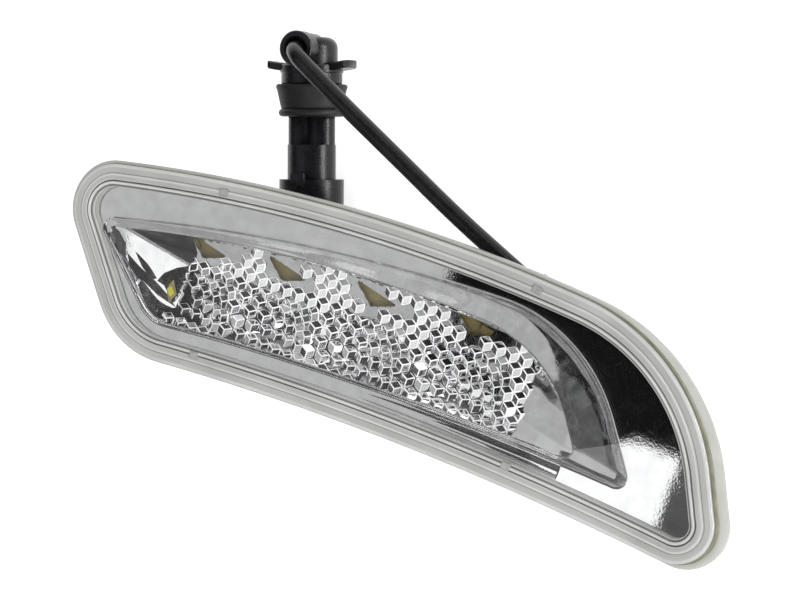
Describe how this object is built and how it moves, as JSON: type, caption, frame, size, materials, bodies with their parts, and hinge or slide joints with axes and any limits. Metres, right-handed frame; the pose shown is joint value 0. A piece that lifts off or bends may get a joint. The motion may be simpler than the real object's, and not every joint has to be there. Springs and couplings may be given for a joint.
{
  "type": "marker lamp",
  "caption": "LED marker lamp with a clear lens, chrome bezel and faceted reflector, a rear tray with screw bosses, and a short cable to a sealed plug.",
  "frame": {"origin": "middle of the four rear screw bosses, on their faces", "axes": "+X along the lamp to its pointed end, +Z out of the lens"},
  "size_m": [0.2686, 0.1313, 0.0441],
  "materials": {
    "housing_grey": "satin",
    "clear_lens": "clear",
    "sealant": "matte",
    "bright_chrome": "mirror",
    "board_mask": "satin",
    "led_yellow": "gloss",
    "black_mould": "satin",
    "bare_metal": "satin",
    "black_rubber": "satin",
    "lead_sleeve": "satin",
    "contact_brass": "satin"
  },
  "bodies": {
    "root": {"housing": "housing_grey", "lens": "clear_lens", "lens_seal": "sealant", "bezel": "bright_chrome", "reflector": "bright_chrome", "led_board": "board_mask", "leds": "led_yellow", "driver_chip": "black_mould", "resistors": "black_mould", "capacitor": "bare_metal", "board_screws": "bare_metal", "vent_cap": "black_rubber", "cable_gland": "black_rubber", "cable": "black_rubber", "supply_leads": "lead_sleeve", "plug_collar": "black_mould", "plug_body": "black_mould", "terminals": "contact_brass", "seal_ring": "black_rubber", "plug_seal": "black_rubber", "plug_elbow": "black_mould"}
  },
  "joints": []
}
